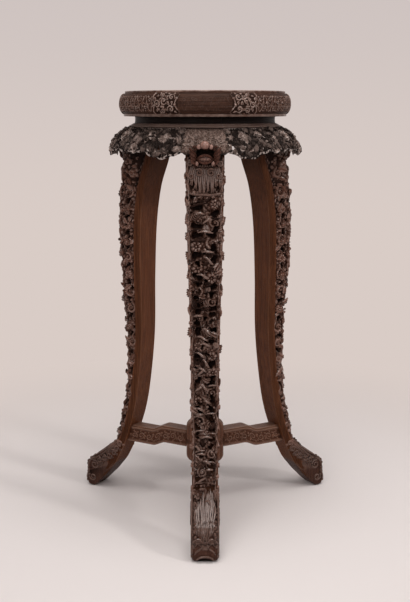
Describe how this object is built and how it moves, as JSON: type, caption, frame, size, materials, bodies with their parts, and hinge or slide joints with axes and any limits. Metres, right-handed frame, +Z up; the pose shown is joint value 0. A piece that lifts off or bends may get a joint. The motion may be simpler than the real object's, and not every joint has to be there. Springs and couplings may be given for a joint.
{
  "type": "carved tripod stand",
  "caption": "Tall carved hardwood stand: round waisted top, openwork apron and S-curved legs with pierced blossom carving, tied by a humpback stretcher.",
  "frame": {"origin": "centre of the flat top face, on the axis of the round top; the floor is 0.9 m below", "axes": "+Z up along the axis of the top; -Y towards the front leg"},
  "size_m": [0.5496, 0.5037, 0.9],
  "materials": {
    "carved_wood": "waxed, dark in the recesses and worn paler on the crests",
    "plain_wood": "waxed, satin",
    "inner_wood": "bare, unpolished"
  },
  "bodies": {
    "root": {"top_panel": "plain_wood", "panel_batten_1": "inner_wood", "panel_batten_2": "inner_wood", "rim_segment_1": "carved_wood", "rim_segment_2": "carved_wood", "rim_segment_3": "carved_wood", "rim_key_1": "inner_wood", "rim_key_2": "inner_wood", "rim_key_3": "inner_wood", "waist_segment_1": "plain_wood", "waist_segment_2": "plain_wood", "waist_segment_3": "plain_wood", "shoulder_moulding_1": "plain_wood", "shoulder_moulding_2": "plain_wood", "shoulder_moulding_3": "plain_wood", "apron_1": "carved_wood", "apron_2": "carved_wood", "apron_3": "carved_wood", "leg_1": "carved_wood", "leg_2": "carved_wood", "leg_3": "carved_wood", "stretcher_arm_1": "plain_wood", "stretcher_arm_2": "plain_wood", "stretcher_arm_3": "plain_wood", "stretcher_hub": "plain_wood"}
  },
  "joints": []
}
